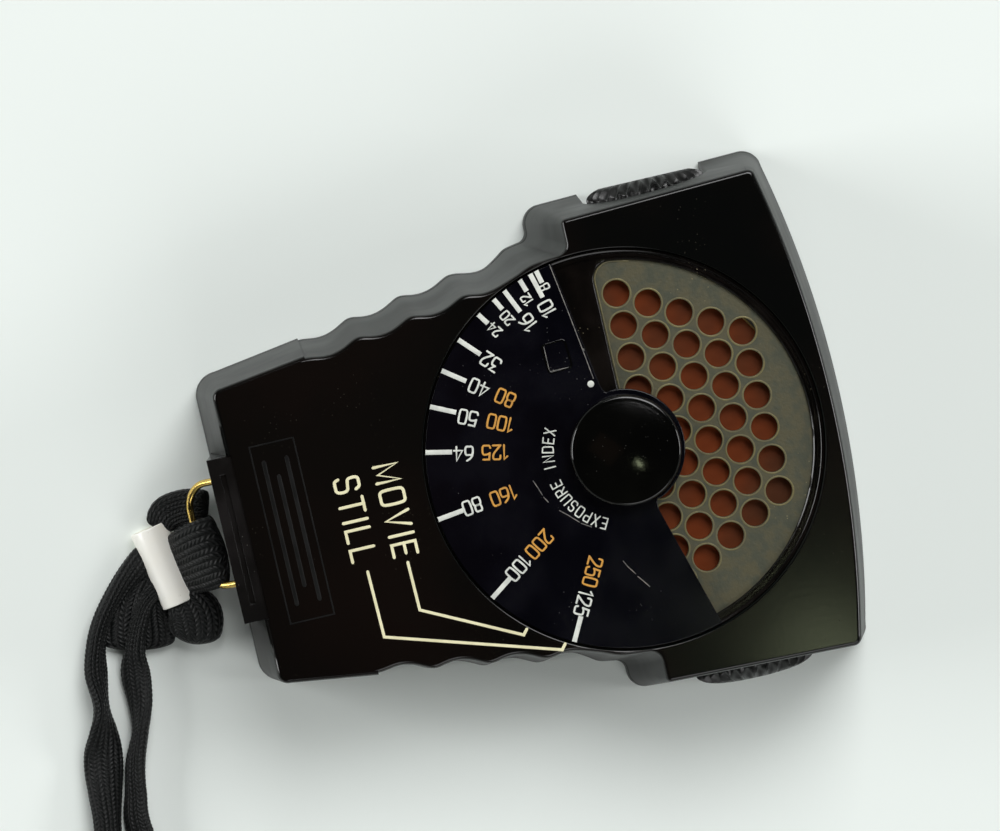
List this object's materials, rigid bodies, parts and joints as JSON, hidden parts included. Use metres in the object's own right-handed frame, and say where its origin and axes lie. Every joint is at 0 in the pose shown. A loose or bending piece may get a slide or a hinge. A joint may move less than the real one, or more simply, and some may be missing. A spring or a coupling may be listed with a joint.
{
  "type": "light meter",
  "caption": "Handheld selenium light meter with a turning exposure dial over a perforated light cell, a fluted scale drum, a needle movement and a braided wrist strap.",
  "frame": {"origin": "on the axis of the exposure dial, in the plane of the front face that the meter lies on", "axes": "+Y towards the wide head, +Z out of the cell side with the dial, +X to the right seen from the cell side"},
  "size_m": [0.1182, 0.1093, 0.0284],
  "materials": {
    "case_phenolic": "glossy moulded black",
    "dial_black": "satin black",
    "window_clear": "clear",
    "steel_screws": "turned",
    "ring_brass": "drawn wire",
    "clip_nickel": "worn nickel plate",
    "braid_black": "herringbone braid",
    "baffle_metal": "dull patina",
    "gasket_felt": "felt",
    "contact_brass": "stamped",
    "cell_selenium": "reddish selenium layer",
    "holder_phenolic": "brown laminate",
    "lead_red": "insulated wire",
    "frame_brass": "turned",
    "steel_plain": "turned",
    "scale_enamel": "cream enamel",
    "magnet_alloy": "ground",
    "jewel_red": "polished",
    "coil_copper": "enamelled winding",
    "needle_red": "painted",
    "resistor_body": "wound bobbin"
  },
  "bodies": {
    "case": {"rear_case": "case_phenolic", "front_cover": "case_phenolic", "front_window": "window_clear", "case_screws": "steel_screws", "lug_block": "case_phenolic", "dial_bezel": "case_phenolic", "cell_baffle": "baffle_metal", "cell_gasket": "gasket_felt", "cell_contact_ring": "contact_brass", "selenium_cell": "cell_selenium", "cell_back_spring": "contact_brass", "cell_holder": "holder_phenolic", "holder_screws": "steel_screws", "cell_leads": "lead_red", "dial_bush": "frame_brass", "scale_plate": "scale_enamel", "drum_bushes": "frame_brass", "click_spring": "contact_brass", "magnet_ring": "magnet_alloy", "iron_core": "magnet_alloy", "movement_plate": "frame_brass", "movement_pillars": "frame_brass", "movement_screws": "steel_screws", "lower_bridge": "frame_brass", "upper_bridge": "frame_brass", "jewel_bearings": "jewel_red", "terminal_board": "holder_phenolic", "series_resistor": "resistor_body"},
    "dial": {"exposure_dial": "dial_black", "dial_knob": "case_phenolic", "dial_spindle": "steel_plain", "spring_washer": "steel_plain", "retaining_clip": "steel_plain"},
    "drum": {"scale_drum": "scale_enamel", "drum_shaft": "steel_plain", "left_knob": "case_phenolic", "right_knob": "case_phenolic", "detent_wheel": "contact_brass"},
    "needle_coil": {"moving_coil": "coil_copper", "needle": "needle_red", "pivot_staff": "steel_plain", "hairsprings": "contact_brass"},
    "zero_adjuster": {"zero_screw": "steel_screws"},
    "zero_lever": {"zero_arm": "steel_plain"},
    "ring_and_strap": {"strap_ring": "ring_brass", "strap_loop": "braid_black", "strap_stub": "braid_black", "strap_clip": "clip_nickel", "strap_cord": "braid_black"}
  },
  "joints": [
    {"name": "dial_turn", "type": "hinge", "parent": "case", "child": "dial", "pos_m": [0, 0, 0.0244], "axis": [0, 0, 1], "range_deg": [-13.8, 125.2]},
    {"name": "drum_turn", "type": "hinge", "parent": "case", "child": "drum", "pos_m": [0, 0.0102, 0.0125], "axis": [1, 0, 0], "continuous": true},
    {"name": "needle_swing", "type": "hinge", "parent": "case", "child": "needle_coil", "pos_m": [0, -0.0245, 0.012], "axis": [0, 0, 1], "range_deg": [0, 50], "stiffness_Nm_per_rad": 0.0002},
    {"name": "zero_screw_turn", "type": "hinge", "parent": "case", "child": "zero_adjuster", "pos_m": [0, -0.0315, 0.001], "axis": [0, 0, 1], "range_deg": [-20, 20]},
    {"name": "zero_arm_turn", "type": "hinge", "parent": "case", "child": "zero_lever", "pos_m": [0, -0.0245, 0.0038], "axis": [0, 0, 1], "range_deg": [-3, 3]},
    {"name": "ring_swing", "type": "hinge", "parent": "case", "child": "ring_and_strap", "pos_m": [-0.0003, -0.0478, 0.009], "axis": [-1, 0, 0], "range_deg": [0, 80]}
  ],
  "couplings": [
    {"joint": "zero_arm_turn", "follows": "zero_screw_turn", "ratio": -0.129}
  ]
}
